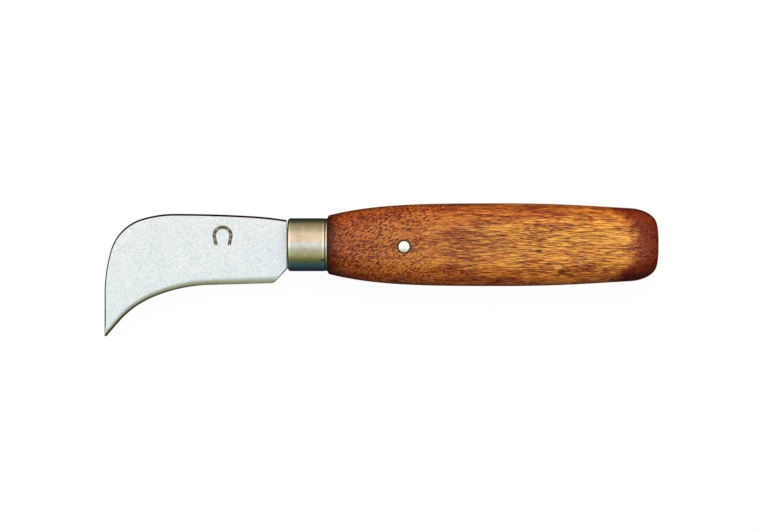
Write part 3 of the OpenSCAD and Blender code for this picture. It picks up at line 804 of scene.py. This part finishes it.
def pin_knots(tree, mm, fleck, wood):
    """The wood with two pin knots, one with a pale scar beside it."""
    for knot_x, knot_y, size, knot in ((71.8, -2.3, 0.7, "#3f140b"), (78.5, -7.9, 0.85, "#e2ab5e"),
                                       (79.6, -9.2, 0.85, "#3f140b")):
        near = add(tree, "ShaderNodeMapping", {"Vector": mm, "Scale": [0.55, 1, 0.2],
                                               "Location": [-0.55 * knot_x, -knot_y, -2.0]})
        away = add(tree, "ShaderNodeVectorMath", {0: near}, operation="LENGTH").outputs["Value"]
        away = add(tree, "ShaderNodeMath", {0: fleck, 1: -1.2, 2: away}, operation="MULTIPLY_ADD")
        spot = add(tree, "ShaderNodeMapRange", {0: away, 1: size - 0.5, 2: size - 0.8, 3: 0,
                                                4: 0.85})
        wood = add(tree, "ShaderNodeMix", {0: spot, 6: wood.outputs[2], 7: srgb(knot)},
                   data_type="RGBA")
    return wood


def stained(tree, x, y, yy, butt, wood):
    """The wood's colour under its stain and finish, darker and redder at both ends and sides, with
    painted shade at the shoulder, on the lower side of both ends and where the sides turn down.
    """
    # stain gathers at the shoulder and in the butt's rounding; the darkening at the shoulder also
    # stands in as painted shade next to the ferrule
    stain = add(tree, "ShaderNodeMapRange", {0: x, 1: 0.3, 2: 6, 3: 1, 4: 0},
                interpolation_type="SMOOTHSTEP")
    stain = add(tree, "ShaderNodeMath", {0: butt, 1: 0.3, 2: stain}, operation="MULTIPLY_ADD")
    deep = add(tree, "ShaderNodeMapRange", {0: x, 1: 6, 2: 76, 3: 1, 4: 0})
    deep = add(tree, "ShaderNodeMath", {0: deep, 1: butt}, operation="MAXIMUM")
    red = add(tree, "ShaderNodeMix", {0: deep, 6: wood.outputs[2], 7: srgb("#bc8882")},
              data_type="RGBA", blend_type="MULTIPLY")
    red = add(tree, "ShaderNodeMix", {0: butt, 6: red.outputs[2], 7: srgb("#e4b8be")},
              data_type="RGBA", blend_type="MULTIPLY")
    side = add(tree, "ShaderNodeMapRange", {0: yy, 1: 15, 2: 110, 3: 0, 4: 1})
    red = add(tree, "ShaderNodeMix", {0: side, 6: red.outputs[2], 7: srgb("#f8dcd4")},
              data_type="RGBA", blend_type="MULTIPLY")
    colour = add(tree, "ShaderNodeMix", {0: stain, 6: red.outputs[2], 7: srgb("#8c4538")},
                 data_type="RGBA", blend_type="MULTIPLY")
    # painted shade: darkest at the lower side of both ends, fading on the side itself
    normal = add(tree, "ShaderNodeNewGeometry").outputs["Normal"]
    normal = add(tree, "ShaderNodeSeparateXYZ", {0: normal})
    level = add(tree, "ShaderNodeMath", {0: normal.outputs[2]}, operation="ABSOLUTE")
    fading = add(tree, "ShaderNodeMapRange", {0: level, 1: 0.1, 2: 0.4, 3: 0.15, 4: 1})
    low = add(tree, "ShaderNodeMapRange", {0: y, 1: -5, 2: -12, 3: 0, 4: 1})
    front = add(tree, "ShaderNodeMapRange", {0: x, 1: 0, 2: 15, 3: 1, 4: 0})
    lower_end_shade = add(tree, "ShaderNodeMath", {0: front, 1: butt}, operation="ADD")
    lower_end_shade = add(tree, "ShaderNodeMath", {0: lower_end_shade, 1: low}, operation="MULTIPLY", use_clamp=True)
    lower_end_shade = add(tree, "ShaderNodeMath", {0: lower_end_shade, 1: fading}, operation="MULTIPLY")
    colour = add(tree, "ShaderNodeMix", {0: lower_end_shade, 6: colour.outputs[2], 7: srgb("#9c8783")},
                 data_type="RGBA", blend_type="MULTIPLY")
    # painted shade: darker where the sides turn down
    turned = add(tree, "ShaderNodeMapRange", {0: level, 1: 0.5, 2: 0.1, 3: 0, 4: 1},
                 interpolation_type="SMOOTHSTEP")
    return add(tree, "ShaderNodeMix", {0: turned, 6: colour.outputs[2], 7: srgb("#c2b6ae")},
               data_type="RGBA", blend_type="MULTIPLY")


def seam_shadow_and_pin_ring(tree, mm, x, colour):
    """The colour with a painted shadow line where the shoulder meets the ferrule, and a dark ring
    round the pin over its countersink."""
    # painted shadow in the seam between the ferrule and the shoulder
    seam_shadow = add(tree, "ShaderNodeMapRange", {0: x, 1: 0.45, 2: 0.2, 3: 0, 4: 0.85})
    colour = add(tree, "ShaderNodeMix", {0: seam_shadow, 6: colour.outputs[2], 7: srgb("#1a0a06")},
                 data_type="RGBA")
    from_pin = add(tree, "ShaderNodeMapping", {"Vector": mm, "Location": [-PIN_X, -PIN_Y, 0],
                                               "Scale": [1, 1, 0]})
    away = add(tree, "ShaderNodeVectorMath", {0: from_pin}, operation="LENGTH").outputs["Value"]
    rim = add(tree, "ShaderNodeMapRange", {0: away, 1: PIN_R + 0.72, 2: PIN_R + 0.48, 3: 0, 4: 0.92})
    return add(tree, "ShaderNodeMix", {0: rim, 6: colour.outputs[2], 7: srgb("#1d0d08")},
               data_type="RGBA")


def lacquered_hardwood():
    """Stained hardwood under thin lacquer: short slanting flecks where the nose and the butt cut
    across the fibres, long dark pores along the flats between, and a golden middle."""
    material, tree = new_material("stained_lacquered_hardwood")
    mm = in_mm(tree, SHOULDER)
    xyz = add(tree, "ShaderNodeSeparateXYZ", {0: mm})
    x, y = xyz.outputs[0], xyz.outputs[1]
    yy = add(tree, "ShaderNodeMath", {0: y, 1: y}, operation="MULTIPLY")
    short, butt, butt_line = wood_ends(tree, mm, x, yy)
    fleck, grain, tone = wood_figure(tree, short, butt_line, yy)
    wood = pin_knots(tree, mm, fleck, wood_colour(tree, tone, short))
    colour = seam_shadow_and_pin_ring(tree, mm, x, stained(tree, x, y, yy, butt, wood))
    gloss = add(tree, "ShaderNodeMapRange", {0: grain, 1: 0.35, 2: 0.65, 3: 0.5, 4: 0.36})
    bump = add(tree, "ShaderNodeBump", {"Strength": 0.5, "Distance": 0.08 * MM, "Height": grain})
    shader = add(tree, "ShaderNodeBsdfPrincipled",
                 {"Base Color": colour.outputs[2], "Roughness": gloss, "Normal": bump,
                  "Specular IOR Level": 0.3, "Coat Weight": 0.08, "Coat Roughness": 0.2})
    add(tree, "ShaderNodeOutputMaterial", {0: shader})
    return material


def pale_paper():
    """A pale backdrop sheet, lit evenly so that it stays close to white."""
    material, tree = new_material("pale_backdrop_paper")
    paper = add(tree, "ShaderNodeBsdfDiffuse", {"Color": srgb("#f4f4f2")})
    glow = add(tree, "ShaderNodeEmission", {"Color": srgb("#fefefe"), "Strength": 1.02})
    both = add(tree, "ShaderNodeMixShader", {0: 0.95, 1: paper, 2: glow})
    add(tree, "ShaderNodeOutputMaterial", {0: both})
    return material


# ---------------------------------------------------------------- studio
def make_floor():
    """A large flat sheet, level with the side that the knife lies on."""
    half, level = 6.0, cad_box[0][2]
    mesh = bpy.data.meshes.new("floor")
    corners = [(-half, -half, level), (half, -half, level), (half, half, level), (-half, half, level)]
    mesh.from_pydata(corners, [], [(0, 1, 2, 3)])
    mesh.materials.append(pale_paper())
    floor = bpy.data.objects.new("floor", mesh)
    bpy.context.scene.collection.objects.link(floor)
    floor.visible_glossy = False
    floor.visible_diffuse = False


def make_world():
    """A soft studio: bright overhead, warm on the far side, dim and olive on the near side and
    dark below. The angle about X, from the near side's nadir round, picks the colour."""
    world = bpy.data.worlds.new("studio")
    bpy.context.scene.world = world
    world.use_nodes = True
    tree = world.node_tree
    tree.nodes.clear()
    way = add(tree, "ShaderNodeTexCoord").outputs["Generated"]
    xyz = add(tree, "ShaderNodeSeparateXYZ", {0: way})
    angle = add(tree, "ShaderNodeMath", {0: xyz.outputs[1], 1: xyz.outputs[2]}, operation="ARCTAN2")
    turn = add(tree, "ShaderNodeMapRange", {0: angle, 1: -math.pi, 2: math.pi})
    lights = [(-134, "#1d2b34"), (-100, "#335463"), (-80, "#4c5d46"), (-62, "#7c7d50"),
              (-46, "#aaad88"), (-20, "#bfc6bc"), (-6, "#eaf6fb"), (6, "#eaf6fb"),
              (16, "#f8e6d6"), (48, "#f6e6d1"), (66, "#c6bca0"), (96, "#9a9070"),
              (116, "#4b503d"), (150, "#132421")]
    ramp = add(tree, "ShaderNodeValToRGB", {"Fac": turn},
               stops=[(0.5 + a / 360, colour) for a, colour in lights])
    sideways = add(tree, "ShaderNodeMath", {0: xyz.outputs[0]}, operation="ABSOLUTE")
    ends = add(tree, "ShaderNodeValToRGB", {"Fac": sideways},
               stops=[(0.05, "#e7e7e7"), (0.3, "#ffffff"), (0.5, "#fff8e8"), (0.72, "#cdc6b4"),
                      (0.9, "#989284")])
    light = add(tree, "ShaderNodeMix", {0: 1.0, 6: ramp, 7: ends}, data_type="RGBA",
                blend_type="MULTIPLY")
    studio = add(tree, "ShaderNodeBackground", {"Color": light.outputs[2], "Strength": 1.46})
    pale = add(tree, "ShaderNodeBackground", {"Color": srgb("#fdfdfc"), "Strength": 0.98})
    seen = add(tree, "ShaderNodeLightPath").outputs["Is Camera Ray"]
    both = add(tree, "ShaderNodeMixShader", {0: seen, 1: studio, 2: pale})
    add(tree, "ShaderNodeOutputWorld", {0: both})


def add_softbox(name, where, size, power, colour, glossy):
    """A square area light aimed at the knife's middle."""
    light = bpy.data.lights.new(name, "AREA")
    light.size = size
    light.energy = power
    light.color = srgb(colour)[:3]
    lamp = bpy.data.objects.new(name, light)
    lamp.location = where
    middle = (cad_box[0] + cad_box[1]) / 2
    lamp.rotation_euler = (middle - lamp.location).to_track_quat("-Z", "Y").to_euler()
    lamp.visible_glossy = glossy
    bpy.context.scene.collection.objects.link(lamp)


def make_camera():
    """Straight down on the knife, a little left of and above its middle."""
    height, frame_width, sensor = 0.55, 0.2624, 36
    shift = np.array([-0.00025, 0.0013])
    middle = (cad_box[0] + cad_box[1]) / 2
    camera = bpy.data.cameras.new("camera")
    camera.sensor_width = sensor
    camera.lens = sensor * height / frame_width
    eye = bpy.data.objects.new("camera", camera)
    eye.location = (middle[0] + shift[0], middle[1] + shift[1], AXIS_Z * MM + height)
    bpy.context.scene.collection.objects.link(eye)
    bpy.context.scene.camera = eye


# ---------------------------------------------------------------- the knife in its studio
finish_piece(make_blade(), "blade", satin_steel())
finish_piece(make_ferrule(), "ferrule", nickel_plate())
finish_piece(make_handle(), "handle", lacquered_hardwood())
finish_piece(make_pin(), "cross_pin", pin_metal())
make_floor()
make_world()
add_softbox("key_softbox", (-0.25, 0.35, 0.9), 0.5, 2.4, "#fffaf2", False)
add_softbox("far_fill", (0.0, 0.8, 0.22), 0.4, 2.6, "#fff3e4", False)
add_softbox("near_fill", (0.0, -0.8, 0.22), 0.4, 1.6, "#fff3e4", False)
make_camera()
bpy.context.scene.view_settings.view_transform = "Standard"
